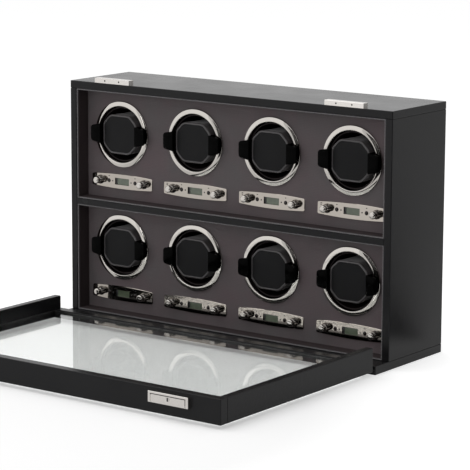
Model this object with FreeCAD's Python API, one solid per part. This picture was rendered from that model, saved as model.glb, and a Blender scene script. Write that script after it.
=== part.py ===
import FreeCAD, Part
import math
import os

from FreeCAD import Vector

# An eight-place watch winder box: a wrapped board case with two compartments, a glazed door
# hinged along the case's front ledge, and eight turning drums that each hold a watch cuff.
# Millimetres. X runs to the right, Y to the back, Z up. Depths are measured back from the
# case's front plane, and the origin is the centre of the case's underside.

# Case
CASE_WIDTH = 598.0
CASE_HEIGHT = 378.0
CASE_DEPTH = 146.0        # front plane to back, without the ledge
BOARD = 11.8              # top and side boards
BOTTOM_BOARD = 13.0
LEDGE = 35.0              # how far the bottom board runs out in front
BACK_BOARD = 6.0
DIVIDER = 8.9
UPPER_EXTRA = 3.7         # upper compartment taller than the lower by this
LINER = 2.6               # lining frame whose front edge shows as a light bead
LINER_PROUD = 0.5
BOARD_EDGE = 1.2          # rounding of the wrapped edges

# Winder stations
COLUMNS = 4
RING_OFFSET = 19.45       # ring centre above the middle of the lower compartment's height
RECESS = 25.5             # front plane to the winder panel's face
PANEL = 5.0
RING_RADIUS = 51.2
RING_BORE = 43.6
RING_HEIGHT = 3.8         # how far the ring stands out of the panel
RING_LIP = 2.2            # the same at its inner edge
CREST_SHIFT = 0.4         # highest line of the ring inside the middle of its band
SLEEVE_WALL = 1.2
SLEEVE_LENGTH = 10.5
SLEEVE_FIT = 0.2          # round the sleeve in its panel hole

# Turning drum and its motor
DRUM_GAP = 0.8            # between drum and ring sleeve
DRUM_WALL = 1.8
DRUM_SETBACK = 2.0        # drum mouth behind the panel's face
DRUM_BACK = 3.0
SHAFT_RADIUS = 4.0
SHAFT_LENGTH = 14.0
SHAFT_FIT = 0.05
MOTOR_GAP = 1.5
MOTOR_RADIUS = 16.0
MOTOR_LENGTH = 30.0
MOTOR_BOSS_RADIUS = 8.0
MOTOR_BOSS = 5.0
MOTOR_RAIL = 4.0
MOTOR_RAIL_HEIGHT = 44.0
BACK_SPACE = 14.0         # between motor rail and back panel, for the wiring

# Watch cuff
CUFF_WIDTH = 67.5
CUFF_HEIGHT = 62.2
CUFF_FLAT_WIDTH = 36.0    # straight length of the top and bottom sides
CUFF_FLAT_HEIGHT = 33.0   # straight length of the left and right sides
CUFF_CORNER = 14.0
CUFF_BACK_GAP = 3.6       # cuff's back end to the drum's floor
CUFF_PROUD = 7.1          # cuff face in front of the panel's face
CUFF_RIM = 4.2
CUFF_RIM_DEPTH = 1.8
GRIP_SPAN = 106.0         # tip to tip over both finger grips
GRIP_TIP_HEIGHT = 24.0
GRIP_ROOT_HEIGHT = 31.0   # where the grip meets the cuff
GRIP_THICKNESS = 3.6
GRIP_PROUD = 13.4         # grip face in front of the panel's face
GRIP_CORNER = 4.0
ROOT_HEIGHT = 30.0
ROOT_THICKNESS = 2.2
ROOT_LENGTH = 46.0
CHEEK_GAP = 0.3           # between a grip's root and the drum's flat cheek

# Control plates
PLATE_DROP = 75.0         # plate centre below the ring centre
PLATE_LENGTH = 120.4
PLATE_MIDDLE = 23.4
PLATE_END = 18.6
PLATE_CORNER = 2.5
PLATE = 1.4
PLATE_EDGE = 0.4
DISPLAY_WIDTH = 28.0
DISPLAY_HEIGHT = 10.6
DISPLAY_SUNK = 2.0
DISPLAY_PANE = 2.0
LENS_OFFSET = 26.0
LENS_RADIUS = 3.3
LENS_PROUD = 0.4
LENS_FIT = 0.05
KNOB_OFFSET = 43.4
KNOB_RADIUS = 5.4
KNOB_CAP = 4.2            # length of the plain part behind the knob's face
KNOB_WAIST_RADIUS = 4.5
KNOB_WAIST = 2.2          # width of the groove behind the cap
KNOB_SKIRT = 7.2          # radius of the knob's foot, which flares out from the groove
KNOB_HEIGHT = 12.8
KNOB_FLUTES = 10
FLUTE_RADIUS = 1.4
KNOB_CROWN = 0.7
KNOB_GAP = 0.3
SPINDLE_RADIUS = 1.5
SPINDLE_FIT = 0.05
SPINDLE_REACH = 3.5       # spindle end behind the control plate
SWITCH_SIZE = 9.0
CIRCUIT_OFFSET = 9.0      # circuit board behind the panel's face
CIRCUIT = 1.6
CIRCUIT_LENGTH = 100.0
CIRCUIT_HEIGHT = 12.0
SLOT_MARGIN = 1.0         # panel slot round the circuit board

# Door, drawn closed
DOOR_DEPTH = 36.4         # front plane to the door's outer face
DOOR_REVEAL = 0.6         # closed rims in front of the case
DOOR_FOOT_GAP = 0.5       # closed door above the ledge
TOP_RAIL = 14.5
SIDE_RAIL = 12.0
BOTTOM_RAIL = 16.0
BOTTOM_RAIL_DEPTH = 16.5
RAIL_EDGE = 1.2
GLASS = 4.0
GLASS_SET = 9.0           # outer face of the door to the outer face of the glass
GLASS_BITE = 5.5          # glass edge inside its groove
BEAD = 2.0

# Hinges along the ledge
HINGE_AXIS_DEPTH = -35.2
HINGE_AXIS_HEIGHT = 7.2
HINGE_COUNT = 3
HINGE_INSET = 99.0        # outer hinges' middles from the case's sides
HINGE_LENGTH = 48.0
KNUCKLE_RADIUS = 3.0
KNUCKLE_GAP = 0.3
HINGE_PIN_RADIUS = 1.5
HINGE_PIN_FIT = 0.05
LEAF = 1.6
LEAF_REACH = 20.0
HINGE_NOTCH_MARGIN = 0.7

# Locks on the door's top rail, in line with the outer stations, and their keepers on the case
LOCK_LENGTH = 67.5
LOCK_WIDTH = 15.5
LOCK_HEIGHT = 6.0
LOCK_SETBACK = 5.2        # lock body in front of the case's front plane
LOCK_WALL = 1.5
LOCK_COVER = 1.0
LOCK_EDGE = 0.5
GROOVE_WIDTH = 1.2
GROOVE_DEPTH = 0.6
GROOVE_INSET = 4.0
PLUG_RADIUS = 3.0
PLUG_PROUD = 0.3
PLUG_FIT = 0.05
KEYHOLE_WIDTH = 1.0
KEYHOLE_LENGTH = 3.6
KEYHOLE_DEPTH = 2.0
BOLT_RADIUS = 1.0
BOLT_FIT = 0.05
BOLT_INSET = 19.95        # each bolt's axis from the lock body's end
BOLT_HEIGHT = 3.8         # bolt axis above the case top
BOLT_TRAVEL = 8.8
BOLT_PLATE = 1.3
BOLT_MARGIN = 2.0         # bolt plate beyond each bolt's axis
BOLT_LIFT = 0.3
KEEPER_DEPTH = 11.0
KEEPER_HEIGHT = 7.5
KEEPER_BORE = 1.3
KEEPER_BORE_DEPTH = 6.0

# Power inlet in the back panel
INLET_INSET = 74.0        # from the case's right side
INLET_Z = 42.0
INLET_RADIUS = 5.0
INLET_FIT = 0.2
INLET_LENGTH = 14.0
INLET_FLANGE_RADIUS = 7.5
INLET_FLANGE = 1.5
INLET_BORE = 2.75
INLET_BORE_DEPTH = 9.0
INLET_PIN = 1.05

# Worked out from the dimensions above
FRONT = (LEDGE - CASE_DEPTH) / 2
HALF_WIDTH = CASE_WIDTH / 2
HALF_INSIDE = HALF_WIDTH - BOARD
INSIDE_TOP = CASE_HEIGHT - BOARD
INSIDE_BACK = CASE_DEPTH - BACK_BOARD
LOWER_HEIGHT = (INSIDE_TOP - BOTTOM_BOARD - DIVIDER - UPPER_EXTRA) / 2
DIVIDER_UNDERSIDE = BOTTOM_BOARD + LOWER_HEIGHT
RING_RISE = LOWER_HEIGHT / 2 + RING_OFFSET
STATION_PITCH = 2 * HALF_INSIDE / COLUMNS
COMPARTMENTS = {
    "upper": (DIVIDER_UNDERSIDE + DIVIDER, INSIDE_TOP),
    "lower": (BOTTOM_BOARD, DIVIDER_UNDERSIDE),
}
STATIONS = [
    (row, column + 1, (column - (COLUMNS - 1) / 2) * STATION_PITCH, floor + RING_RISE)
    for row, (floor, ceiling) in COMPARTMENTS.items()
    for column in range(COLUMNS)
]
SLEEVE_RADIUS = RING_BORE + SLEEVE_WALL
DRUM_RADIUS = RING_BORE - DRUM_GAP
DRUM_BORE = DRUM_RADIUS - DRUM_WALL
DRUM_MOUTH = RECESS + DRUM_SETBACK
MOTOR_END = INSIDE_BACK - BACK_SPACE - MOTOR_RAIL
MOTOR_FACE = MOTOR_END - MOTOR_LENGTH
DRUM_END = MOTOR_FACE - MOTOR_GAP
DRUM_FLOOR = DRUM_END - DRUM_BACK
CUFF_FACE = RECESS - CUFF_PROUD
CUFF_LENGTH = DRUM_FLOOR - CUFF_BACK_GAP - CUFF_FACE
CUFF_SIDE = CUFF_WIDTH / 2
ROOT_OUTSIDE = CUFF_SIDE + ROOT_THICKNESS
PLATE_FACE = RECESS - PLATE
DOOR_FOOT = BOTTOM_BOARD + DOOR_FOOT_GAP
GLASS_OUTSIDE = -DOOR_DEPTH + GLASS_SET
GLASS_INSIDE = GLASS_OUTSIDE + GLASS
RAIL_INSIDE = HALF_WIDTH - SIDE_RAIL
LOCK_BACK = -LOCK_SETBACK
LOCK_FRONT = LOCK_BACK - LOCK_WIDTH
LOCK_MIDDLE = (LOCK_FRONT + LOCK_BACK) / 2
BOLT_SPACING = LOCK_LENGTH - 2 * BOLT_INSET
BOLT_BAR = LOCK_WIDTH - 2 * LOCK_WALL - BOLT_TRAVEL - 2 * BOLT_LIFT
LOCK_OFFSET = (COLUMNS - 1) / 2 * STATION_PITCH
HINGE_SPACING = (CASE_WIDTH - 2 * HINGE_INSET) / (HINGE_COUNT - 1)
HINGES = [(i - (HINGE_COUNT - 1) / 2) * HINGE_SPACING for i in range(HINGE_COUNT)]
INLET_X = HALF_WIDTH - INLET_INSET
OVERCUT = 1.0             # how far a cut runs on into open air
TOUCH = 1e-6


# Shapes

def depth(d):
    """Y of a point that lies d behind the case's front plane."""
    return FRONT + d


def block(x0, x1, d0, d1, z0, z1):
    return Part.makeBox(x1 - x0, d1 - d0, z1 - z0, Vector(x0, depth(d0), z0))


def board(x0, x1, d0, d1, z0, z1, edge):
    """A block with every edge rounded, as a board looks once it is wrapped."""
    plain = block(x0, x1, d0, d1, z0, z1)
    return plain.makeFillet(edge, plain.Edges)


def rod(x, z, radius, d0, d1):
    """A cylinder along Y."""
    return Part.makeCylinder(radius, d1 - d0, Vector(x, depth(d0), z), Vector(0, 1, 0))


def bar_along_x(x0, x1, d, z, radius):
    """A cylinder along X."""
    return Part.makeCylinder(radius, x1 - x0, Vector(x0, depth(d), z), Vector(1, 0, 0))


def rounded_outline(corners, radius, d):
    """A closed wire at depth d through (x, z) corners, each corner an arc of this radius."""
    points = [Vector(x, depth(d), z) for x, z in corners]
    edges, ends = [], []
    for i, corner in enumerate(points):
        before = (points[i - 1] - corner).normalize()
        after = (points[(i + 1) % len(points)] - corner).normalize()
        half = before.getAngle(after) / 2
        reach = radius / math.tan(half)
        bisector = (before + after).normalize()
        middle = corner + bisector * (radius / math.sin(half) - radius)
        start, end = corner + before * reach, corner + after * reach
        edges.append(Part.Arc(start, middle, end).toShape())
        ends.append((start, end))
    for i, (start, end) in enumerate(ends):
        edges.append(Part.LineSegment(end, ends[(i + 1) % len(ends)][0]).toShape())
    return Part.Wire(Part.__sortEdges__(edges))


def ring_of(edges):
    """A solid of revolution about the Y axis from profile edges in the XY plane."""
    return Part.Face(Part.Wire(edges)).revolve(Vector(), Vector(0, 1, 0), 360)


def line(r0, d0, r1, d1):
    return Part.LineSegment(Vector(r0, depth(d0), 0), Vector(r1, depth(d1), 0)).toShape()


def edges_along_y(shape):
    """The straight edges of a shape that run front to back."""
    return [
        e for e in shape.Edges
        if len(e.Vertexes) == 2 and e.BoundBox.XLength < TOUCH and e.BoundBox.ZLength < TOUCH
    ]


def at_each_station(shape):
    return Part.makeCompound([shape.translated(Vector(x, 0, z)) for _, _, x, z in STATIONS])


def opened(shape):
    """Swing a piece of the closed door down to its open position."""
    axis = Vector(0, depth(HINGE_AXIS_DEPTH), HINGE_AXIS_HEIGHT)
    return shape.rotated(axis, Vector(1, 0, 0), 90)


def save(name, shape):
    shape.exportStep("parts/" + name + ".step")


# Case

def bottom_board():
    """Floor of the case, with the ledge in front and the hinges let into the ledge."""
    shape = board(-HALF_WIDTH, HALF_WIDTH, -LEDGE, CASE_DEPTH, 0, BOTTOM_BOARD, BOARD_EDGE)
    barrel_back = HINGE_AXIS_DEPTH + KNUCKLE_RADIUS + HINGE_NOTCH_MARGIN
    barrel_foot = HINGE_AXIS_HEIGHT - KNUCKLE_RADIUS - HINGE_NOTCH_MARGIN
    leaf_foot = HINGE_AXIS_HEIGHT - KNUCKLE_RADIUS
    reach = HINGE_LENGTH / 2 + HINGE_NOTCH_MARGIN
    for x in HINGES:
        shape = shape.cut(block(x - reach, x + reach, -LEDGE - OVERCUT, barrel_back,
                              barrel_foot, BOTTOM_BOARD + OVERCUT))
        shape = shape.cut(block(
            x - HINGE_LENGTH / 2, x + HINGE_LENGTH / 2, -LEDGE, HINGE_AXIS_DEPTH + LEAF_REACH,
            leaf_foot, leaf_foot + LEAF))
    return shape


def side_boards():
    right = board(HALF_INSIDE, HALF_WIDTH, 0, CASE_DEPTH, BOTTOM_BOARD, INSIDE_TOP, BOARD_EDGE)
    return Part.makeCompound([right.mirror(Vector(), Vector(1, 0, 0)), right])


def back_panel():
    shape = block(-HALF_INSIDE, HALF_INSIDE, INSIDE_BACK, CASE_DEPTH, BOTTOM_BOARD, INSIDE_TOP)
    return shape.cut(rod(INLET_X, INLET_Z, INLET_RADIUS + INLET_FIT, INSIDE_BACK, CASE_DEPTH))


def compartment_liners():
    """Lining frames of both compartments, from just proud of the front edge to the panel."""
    liners = []
    for floor, ceiling in COMPARTMENTS.values():
        outside = block(-HALF_INSIDE, HALF_INSIDE, -LINER_PROUD, RECESS, floor, ceiling)
        inside = block(-HALF_INSIDE + LINER, HALF_INSIDE - LINER, -LINER_PROUD, RECESS,
                       floor + LINER, ceiling - LINER)
        liners.append(outside.cut(inside))
    return Part.makeCompound(liners)


def winder_panels():
    """One panel per compartment, with a hole for each ring and a slot for each circuit."""
    panels = []
    reach = CIRCUIT_LENGTH / 2 + SLOT_MARGIN
    rise = CIRCUIT_HEIGHT / 2 + SLOT_MARGIN
    for row, (floor, ceiling) in COMPARTMENTS.items():
        panel = block(-HALF_INSIDE, HALF_INSIDE, RECESS, RECESS + PANEL, floor, ceiling)
        for station_row, _, x, z in STATIONS:
            if station_row == row:
                plate_z = z - PLATE_DROP
                panel = panel.cut(rod(x, z, SLEEVE_RADIUS + SLEEVE_FIT, RECESS, RECESS + PANEL))
                panel = panel.cut(block(x - reach, x + reach, RECESS, RECESS + PANEL,
                                        plate_z - rise, plate_z + rise))
        panels.append(panel)
    return Part.makeCompound(panels)


def motor_rails():
    """A cross rail behind each row of motors, from side board to side board."""
    rails = []
    for floor, _ in COMPARTMENTS.values():
        z = floor + RING_RISE
        rails.append(block(-HALF_INSIDE, HALF_INSIDE, MOTOR_END, MOTOR_END + MOTOR_RAIL,
                           z - MOTOR_RAIL_HEIGHT / 2, z + MOTOR_RAIL_HEIGHT / 2))
    return Part.makeCompound(rails)


def power_inlet():
    body = rod(INLET_X, INLET_Z, INLET_RADIUS, CASE_DEPTH - INLET_LENGTH, CASE_DEPTH)
    flange = rod(INLET_X, INLET_Z, INLET_FLANGE_RADIUS, CASE_DEPTH, CASE_DEPTH + INLET_FLANGE)
    mouth = CASE_DEPTH + INLET_FLANGE
    bore = rod(INLET_X, INLET_Z, INLET_BORE, mouth - INLET_BORE_DEPTH, mouth)
    pin = rod(INLET_X, INLET_Z, INLET_PIN, mouth - INLET_BORE_DEPTH, mouth - INLET_FLANGE)
    return body.fuse(flange).cut(bore).fuse(pin).removeSplitter()


# Winder stations

def ring_bezel():
    """Convex polished ring with a sleeve that lines the panel hole."""
    crest = (RING_RADIUS + RING_BORE) / 2 - CREST_SHIFT
    lip = RECESS - RING_LIP
    crown = Part.Arc(
        Vector(RING_RADIUS, depth(RECESS), 0),
        Vector(crest, depth(RECESS - RING_HEIGHT), 0),
        Vector(RING_BORE, depth(lip), 0)).toShape()
    sleeve_end = RECESS + SLEEVE_LENGTH
    return ring_of([
        crown,
        line(RING_BORE, lip, RING_BORE, sleeve_end),
        line(RING_BORE, sleeve_end, SLEEVE_RADIUS, sleeve_end),
        line(SLEEVE_RADIUS, sleeve_end, SLEEVE_RADIUS, RECESS),
        line(SLEEVE_RADIUS, RECESS, RING_RADIUS, RECESS)])


def drum():
    """Turning cup: round outside, two flat cheeks inside that drive the cuff, shaft behind."""
    cup = rod(0, 0, DRUM_RADIUS, DRUM_MOUTH, DRUM_END)
    bore = rod(0, 0, DRUM_BORE, DRUM_MOUTH, DRUM_FLOOR)
    cheek = ROOT_OUTSIDE + CHEEK_GAP
    between_cheeks = block(-cheek, cheek, DRUM_MOUTH, DRUM_FLOOR, -DRUM_BORE, DRUM_BORE)
    shaft = rod(0, 0, SHAFT_RADIUS, DRUM_FLOOR, DRUM_END + SHAFT_LENGTH)
    return cup.cut(bore.common(between_cheeks)).fuse(shaft).removeSplitter()


def drive_motor():
    """Gearmotor with a bearing boss round the drum's shaft."""
    boss = rod(0, 0, MOTOR_BOSS_RADIUS, MOTOR_FACE, MOTOR_FACE + MOTOR_BOSS)
    body = rod(0, 0, MOTOR_RADIUS, MOTOR_FACE + MOTOR_BOSS, MOTOR_END)
    bore = rod(0, 0, SHAFT_RADIUS + SHAFT_FIT, MOTOR_FACE, DRUM_END + SHAFT_LENGTH + SHAFT_FIT)
    return boss.fuse(body).cut(bore).removeSplitter()


def octagon(inset):
    """Corners of the cuff's outline, drawn in by inset on every side."""
    across, up = CUFF_WIDTH / 2, CUFF_HEIGHT / 2
    flat_x, flat_z = CUFF_FLAT_WIDTH / 2, CUFF_FLAT_HEIGHT / 2
    lean = math.atan2(up - flat_z, across - flat_x)
    cut_x = inset * math.tan(lean / 2)
    cut_z = inset * math.tan((math.pi / 2 - lean) / 2)
    x1, z1 = across - inset, up - inset
    x0, z0 = flat_x - cut_x, flat_z - cut_z
    return [(x1, z0), (x0, z1), (-x0, z1), (-x1, z0), (-x1, -z0), (-x0, -z1), (x0, -z1), (x1, -z0)]


def cuff_pillow():
    """Octagonal cushion that a watch is strapped round, with a bevelled rim in front."""
    shoulder = CUFF_FACE + CUFF_RIM_DEPTH
    body = Part.Face(rounded_outline(octagon(0), CUFF_CORNER, shoulder)).extrude(
        Vector(0, CUFF_LENGTH - CUFF_RIM_DEPTH, 0))
    rim = Part.makeLoft([
        rounded_outline(octagon(CUFF_RIM), CUFF_CORNER - CUFF_RIM, CUFF_FACE),
        rounded_outline(octagon(0), CUFF_CORNER, shoulder)], True, True)
    return body.fuse(rim).removeSplitter()


def finger_grip():
    """Right-hand grip: a tapered tab in front of the ring, on a root that runs back along the cuff."""
    face = RECESS - GRIP_PROUD
    corners = [Vector(x, depth(face), z) for x, z in (
        (CUFF_SIDE, -GRIP_ROOT_HEIGHT / 2), (GRIP_SPAN / 2, -GRIP_TIP_HEIGHT / 2),
        (GRIP_SPAN / 2, GRIP_TIP_HEIGHT / 2), (CUFF_SIDE, GRIP_ROOT_HEIGHT / 2))]
    tab = Part.Face(Part.makePolygon(corners + corners[:1])).extrude(Vector(0, GRIP_THICKNESS, 0))
    tips = [e for e in edges_along_y(tab) if e.BoundBox.XMin > CUFF_SIDE + TOUCH]
    tab = tab.makeFillet(GRIP_CORNER, tips)
    root = block(CUFF_SIDE, ROOT_OUTSIDE, face, face + ROOT_LENGTH, -ROOT_HEIGHT / 2, ROOT_HEIGHT / 2)
    return tab.fuse(root).removeSplitter()


def cuff():
    grip = finger_grip()
    return Part.makeCompound([cuff_pillow(), grip, grip.mirror(Vector(), Vector(1, 0, 0))])


# Controls under each ring, drawn about the plate's centre

def control_plate():
    """Polished plate with bowed long edges, holes for display, lenses and knob spindles."""
    half, end, middle = PLATE_LENGTH / 2, PLATE_END / 2, PLATE_MIDDLE / 2
    y = depth(PLATE_FACE)
    corners = [Vector(half, y, end), Vector(-half, y, end), Vector(-half, y, -end), Vector(half, y, -end)]
    outline = Part.Wire([
        Part.Arc(corners[0], Vector(0, y, middle), corners[1]).toShape(),
        Part.LineSegment(corners[1], corners[2]).toShape(),
        Part.Arc(corners[2], Vector(0, y, -middle), corners[3]).toShape(),
        Part.LineSegment(corners[3], corners[0]).toShape()])
    plate = Part.Face(outline).extrude(Vector(0, PLATE, 0))
    plate = plate.makeFillet(PLATE_CORNER, edges_along_y(plate))
    front = [e for e in plate.Edges if e.BoundBox.YMax < y + TOUCH]
    plate = plate.makeChamfer(PLATE_EDGE, front)
    plate = plate.cut(block(-DISPLAY_WIDTH / 2, DISPLAY_WIDTH / 2, PLATE_FACE, RECESS,
                            -DISPLAY_HEIGHT / 2, DISPLAY_HEIGHT / 2))
    for side in (-1, 1):
        plate = plate.cut(rod(side * LENS_OFFSET, 0, LENS_RADIUS + LENS_FIT, PLATE_FACE, RECESS))
        plate = plate.cut(rod(side * KNOB_OFFSET, 0, SPINDLE_RADIUS + SPINDLE_FIT, PLATE_FACE, RECESS))
    return plate


def display_window():
    face = PLATE_FACE + DISPLAY_SUNK
    return block(-DISPLAY_WIDTH / 2, DISPLAY_WIDTH / 2, face, face + DISPLAY_PANE,
                 -DISPLAY_HEIGHT / 2, DISPLAY_HEIGHT / 2)


def indicator_lenses():
    return Part.makeCompound([
        rod(side * LENS_OFFSET, 0, LENS_RADIUS, PLATE_FACE - LENS_PROUD, RECESS) for side in (-1, 1)])


def circuit():
    """Circuit board behind the panel, with the display and a switch behind each knob."""
    back = RECESS + CIRCUIT_OFFSET
    shape = block(-CIRCUIT_LENGTH / 2, CIRCUIT_LENGTH / 2, back, back + CIRCUIT,
                  -CIRCUIT_HEIGHT / 2, CIRCUIT_HEIGHT / 2)
    pane_back = PLATE_FACE + DISPLAY_SUNK + DISPLAY_PANE
    shape = shape.fuse(block(-DISPLAY_WIDTH / 2, DISPLAY_WIDTH / 2, pane_back, back,
                             -DISPLAY_HEIGHT / 2, DISPLAY_HEIGHT / 2))
    for side in (-1, 1):
        x = side * KNOB_OFFSET
        switch = block(x - SWITCH_SIZE / 2, x + SWITCH_SIZE / 2, RECESS, back,
                       -SWITCH_SIZE / 2, SWITCH_SIZE / 2)
        bore = rod(x, 0, SPINDLE_RADIUS + SPINDLE_FIT, RECESS, RECESS + SPINDLE_REACH + SPINDLE_FIT)
        shape = shape.fuse(switch).cut(bore)
    return shape.removeSplitter()


def knob():
    """Knob with a crowned round cap, a groove and a fluted, flared skirt, on its spindle."""
    foot = PLATE_FACE - KNOB_GAP
    face = PLATE_FACE - KNOB_HEIGHT
    groove = face + KNOB_CAP
    cap = ring_of([
        line(0, face, KNOB_RADIUS - KNOB_CROWN, face),
        line(KNOB_RADIUS - KNOB_CROWN, face, KNOB_RADIUS, face + KNOB_CROWN),
        line(KNOB_RADIUS, face + KNOB_CROWN, KNOB_RADIUS, groove),
        line(KNOB_RADIUS, groove, KNOB_WAIST_RADIUS, groove),
        line(KNOB_WAIST_RADIUS, groove, KNOB_WAIST_RADIUS, groove + KNOB_WAIST),
        line(KNOB_WAIST_RADIUS, groove + KNOB_WAIST, KNOB_RADIUS, groove + KNOB_WAIST),
        line(KNOB_RADIUS, groove + KNOB_WAIST, KNOB_SKIRT, foot),
        line(KNOB_SKIRT, foot, 0, foot),
        line(0, foot, 0, face)])
    for i in range(KNOB_FLUTES):
        turn = 2 * math.pi * i / KNOB_FLUTES
        cap = cap.cut(rod(KNOB_SKIRT * math.cos(turn), KNOB_SKIRT * math.sin(turn), FLUTE_RADIUS,
                          groove, foot))
    return cap.fuse(rod(0, 0, SPINDLE_RADIUS, foot, RECESS + SPINDLE_REACH)).removeSplitter()


# Door, drawn closed and swung open by opened()

def glass_groove(x0, x1, z0, z1):
    return block(x0, x1, GLASS_OUTSIDE, GLASS_INSIDE, z0, z1)


def door_top_rail():
    foot = CASE_HEIGHT - TOP_RAIL
    rail = board(-HALF_WIDTH, HALF_WIDTH, -DOOR_DEPTH, -DOOR_REVEAL, foot, CASE_HEIGHT, RAIL_EDGE)
    bite = RAIL_INSIDE + GLASS_BITE
    return rail.cut(glass_groove(-bite, bite, foot - OVERCUT, foot + GLASS_BITE))


def door_side_rails():
    ceiling = CASE_HEIGHT - TOP_RAIL
    rail = board(RAIL_INSIDE, HALF_WIDTH, -DOOR_DEPTH, -DOOR_REVEAL, DOOR_FOOT, ceiling, RAIL_EDGE)
    bottom = DOOR_FOOT + BOTTOM_RAIL - GLASS_BITE
    rail = rail.cut(glass_groove(RAIL_INSIDE - OVERCUT, RAIL_INSIDE + GLASS_BITE, bottom, ceiling))
    return Part.makeCompound([rail.mirror(Vector(), Vector(1, 0, 0)), rail])


def door_bottom_rail():
    """Low rail on the hinge side, between the side rails, with slots for the hinge leaves."""
    top = DOOR_FOOT + BOTTOM_RAIL
    rail = board(-RAIL_INSIDE, RAIL_INSIDE, -DOOR_DEPTH, -DOOR_DEPTH + BOTTOM_RAIL_DEPTH,
                 DOOR_FOOT, top, RAIL_EDGE)
    rail = rail.cut(glass_groove(-RAIL_INSIDE, RAIL_INSIDE, top - GLASS_BITE, top + OVERCUT))
    leaf_back = HINGE_AXIS_DEPTH + KNUCKLE_RADIUS
    for x in HINGES:
        rail = rail.cut(block(x - HINGE_LENGTH / 2, x + HINGE_LENGTH / 2, leaf_back - LEAF, leaf_back,
                              DOOR_FOOT - OVERCUT, HINGE_AXIS_HEIGHT + LEAF_REACH))
    return rail


def door_glass():
    bite = RAIL_INSIDE + GLASS_BITE
    return glass_groove(-bite, bite, DOOR_FOOT + BOTTOM_RAIL - GLASS_BITE,
                        CASE_HEIGHT - TOP_RAIL + GLASS_BITE)


def glazing_bead():
    """Square bead inside the rails, against the inner face of the glass."""
    foot, ceiling = DOOR_FOOT + BOTTOM_RAIL, CASE_HEIGHT - TOP_RAIL
    outside = block(-RAIL_INSIDE, RAIL_INSIDE, GLASS_INSIDE, GLASS_INSIDE + BEAD, foot, ceiling)
    inside = block(-RAIL_INSIDE + BEAD, RAIL_INSIDE - BEAD, GLASS_INSIDE, GLASS_INSIDE + BEAD,
                   foot + BEAD, ceiling - BEAD)
    return outside.cut(inside)


# Hinges

def knuckle_span(x, part):
    """X limits of a hinge's left, middle or right knuckle, part 0, 1 or 2."""
    pitch = HINGE_LENGTH / 3
    start = x - HINGE_LENGTH / 2 + part * pitch
    return start + KNUCKLE_GAP / 2, start + pitch - KNUCKLE_GAP / 2


def hinge_case_leaves():
    """Leaves let into the ledge, with their outer knuckles, and the hinge pins."""
    pieces = []
    foot = HINGE_AXIS_HEIGHT - KNUCKLE_RADIUS
    clear = HINGE_AXIS_DEPTH + KNUCKLE_RADIUS + KNUCKLE_GAP
    for x in HINGES:
        half = HINGE_LENGTH / 2
        leaf = block(x - half, x + half, clear, HINGE_AXIS_DEPTH + LEAF_REACH, foot, foot + LEAF)
        for part in (0, 2):
            x0, x1 = knuckle_span(x, part)
            leaf = leaf.fuse(block(x0, x1, HINGE_AXIS_DEPTH, clear, foot, foot + LEAF))
            leaf = leaf.fuse(bar_along_x(x0, x1, HINGE_AXIS_DEPTH, HINGE_AXIS_HEIGHT, KNUCKLE_RADIUS))
        pin = bar_along_x(x - half, x + half, HINGE_AXIS_DEPTH, HINGE_AXIS_HEIGHT, HINGE_PIN_RADIUS)
        pieces += [leaf.cut(pin).removeSplitter(), pin]
    return Part.makeCompound(pieces)


def hinge_door_leaves():
    """Leaves let into the door's bottom rail, each with a middle knuckle."""
    pieces = []
    back = HINGE_AXIS_DEPTH + KNUCKLE_RADIUS
    clear = HINGE_AXIS_HEIGHT + KNUCKLE_RADIUS + KNUCKLE_GAP
    for x in HINGES:
        half = HINGE_LENGTH / 2
        x0, x1 = knuckle_span(x, 1)
        leaf = block(x - half, x + half, back - LEAF, back, clear, HINGE_AXIS_HEIGHT + LEAF_REACH)
        leaf = leaf.fuse(block(x0, x1, back - LEAF, back, HINGE_AXIS_HEIGHT, clear))
        leaf = leaf.fuse(bar_along_x(x0, x1, HINGE_AXIS_DEPTH, HINGE_AXIS_HEIGHT, KNUCKLE_RADIUS))
        bore = bar_along_x(x - half, x + half, HINGE_AXIS_DEPTH, HINGE_AXIS_HEIGHT,
                           HINGE_PIN_RADIUS + HINGE_PIN_FIT)
        pieces.append(leaf.cut(bore).removeSplitter())
    return Part.makeCompound(pieces)


# Locks

def lock_housing(x):
    """Hollow lock body on the door's top rail, with an engraved line round its face."""
    top = CASE_HEIGHT + LOCK_HEIGHT
    left, right = x - LOCK_LENGTH / 2, x + LOCK_LENGTH / 2
    body = block(left, right, LOCK_FRONT, LOCK_BACK, CASE_HEIGHT, top)
    upper = [e for e in body.Edges if e.BoundBox.ZMin > top - TOUCH]
    body = body.makeChamfer(LOCK_EDGE, upper)
    body = body.cut(block(left + LOCK_WALL, right - LOCK_WALL, LOCK_FRONT + LOCK_WALL,
                          LOCK_BACK - LOCK_WALL, CASE_HEIGHT, top - LOCK_COVER))
    groove_foot = top - GROOVE_DEPTH
    line_back = LOCK_BACK - GROOVE_INSET
    line_ends = (left + GROOVE_INSET, right - GROOVE_INSET)
    body = body.cut(block(line_ends[0], line_ends[1], line_back, line_back + GROOVE_WIDTH,
                          groove_foot, top))
    for x0 in (line_ends[0], line_ends[1] - GROOVE_WIDTH):
        body = body.cut(block(x0, x0 + GROOVE_WIDTH, LOCK_FRONT + GROOVE_WIDTH, line_back,
                              groove_foot, top))
    body = body.cut(Part.makeCylinder(PLUG_RADIUS + PLUG_FIT, LOCK_HEIGHT,
                                      Vector(x, depth(LOCK_MIDDLE), CASE_HEIGHT)))
    for side in (-1, 1):
        body = body.cut(rod(x + side * BOLT_SPACING / 2, CASE_HEIGHT + BOLT_HEIGHT,
                            BOLT_RADIUS + BOLT_FIT, LOCK_BACK - LOCK_WALL, LOCK_BACK))
    return body


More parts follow.
